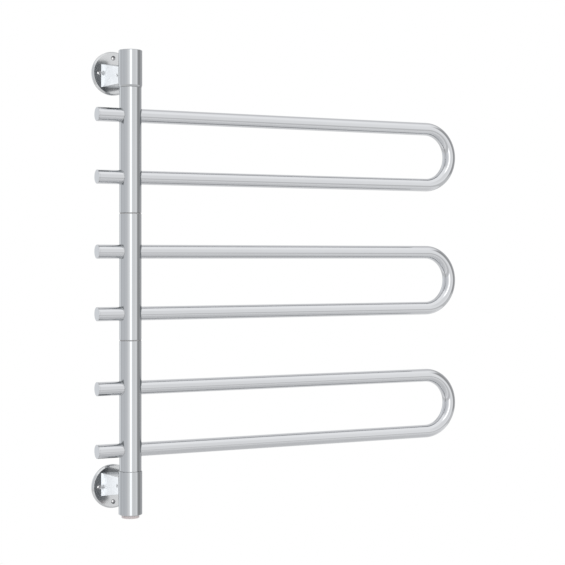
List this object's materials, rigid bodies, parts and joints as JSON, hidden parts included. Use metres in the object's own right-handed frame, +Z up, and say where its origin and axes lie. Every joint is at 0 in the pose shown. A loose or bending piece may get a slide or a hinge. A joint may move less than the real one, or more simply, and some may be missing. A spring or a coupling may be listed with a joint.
{
  "type": "swivel heated towel rail",
  "caption": "Wall-hung heated towel rail: U-shaped tube loops run through a round post and swivel one by one between the wall brackets, with a push switch in the post's foot.",
  "frame": {"origin": "centre of the lower wall flange's back face, on the wall", "axes": "+Z up along the post, +Y into the wall, +X along the loops at rest, to the right as seen from the room"},
  "size_m": [0.7215, 0.1103, 0.8077],
  "materials": {
    "post_steel": "polished stainless steel",
    "loop_steel": "polished stainless steel",
    "bracket_chrome": "mirror-bright",
    "bezel_steel": "polished",
    "screw_steel": "plain steel",
    "spring_steel": "drawn wire",
    "turned_brass": "as turned",
    "element_sheath": "drawn sheath, annealed",
    "bush_plastic": "moulded, unfilled",
    "washer_plastic": "moulded",
    "switch_plastic": "moulded",
    "button_plastic": "satin gloss",
    "grommet_rubber": "moulded",
    "wire_cover": "silicone sleeve"
  },
  "bodies": {
    "bracket_frame": {"lower_wall_flange": "bracket_chrome", "upper_wall_flange": "bracket_chrome", "lower_bracket_arm": "bracket_chrome", "upper_bracket_arm": "bracket_chrome", "lower_arm_screws": "screw_steel", "upper_arm_screws": "screw_steel", "lower_grub_screw": "screw_steel", "upper_grub_screw": "screw_steel", "lower_spigot": "turned_brass", "upper_spigot": "turned_brass", "cable_grommet": "grommet_rubber", "bottom_collar": "post_steel", "collar_spindle": "turned_brass", "collar_washer": "washer_plastic", "top_cap": "post_steel", "cap_hub": "turned_brass", "cap_bush": "bush_plastic", "switch_bezel": "bezel_steel", "switch_housing": "switch_plastic", "switch_ring_nut": "turned_brass", "switch_terminals": "turned_brass", "button_spring": "spring_steel", "supply_wires": "wire_cover", "earth_screw": "screw_steel"},
    "push_button": {"switch_button": "button_plastic"},
    "lower_section": {"lower_sleeve": "post_steel", "lower_loop_tube": "loop_steel", "lower_stub_caps": "loop_steel", "lower_bush": "bush_plastic", "lower_spindle": "turned_brass", "lower_washer": "washer_plastic", "lower_heating_element": "element_sheath", "lower_lead_wires": "wire_cover"},
    "middle_section": {"middle_sleeve": "post_steel", "middle_loop_tube": "loop_steel", "middle_stub_caps": "loop_steel", "middle_bush": "bush_plastic", "middle_spindle": "turned_brass", "middle_washer": "washer_plastic", "middle_heating_element": "element_sheath", "middle_lead_wires": "wire_cover"},
    "upper_section": {"upper_sleeve": "post_steel", "upper_loop_tube": "loop_steel", "upper_stub_caps": "loop_steel", "upper_bush": "bush_plastic", "upper_spindle": "turned_brass", "upper_washer": "washer_plastic", "upper_heating_element": "element_sheath", "upper_lead_wires": "wire_cover"}
  },
  "joints": [
    {"name": "lower_swivel", "type": "hinge", "parent": "bracket_frame", "child": "lower_section", "pos_m": [0, -0.09, 0.127], "axis": [0, 0, 1], "range_deg": [-180, 0]},
    {"name": "middle_swivel", "type": "hinge", "parent": "bracket_frame", "child": "middle_section", "pos_m": [0, -0.09, 0.36], "axis": [0, 0, 1], "range_deg": [-180, 0]},
    {"name": "upper_swivel", "type": "hinge", "parent": "bracket_frame", "child": "upper_section", "pos_m": [0, -0.09, 0.593], "axis": [0, 0, 1], "range_deg": [-180, 0]},
    {"name": "button_press", "type": "slide", "parent": "bracket_frame", "child": "push_button", "axis": [0, 0, 1], "range_m": [0, 0.002], "stiffness_N_per_m": 1200, "springref_m": -0.0012, "deforming": ["button_spring"]}
  ]
}
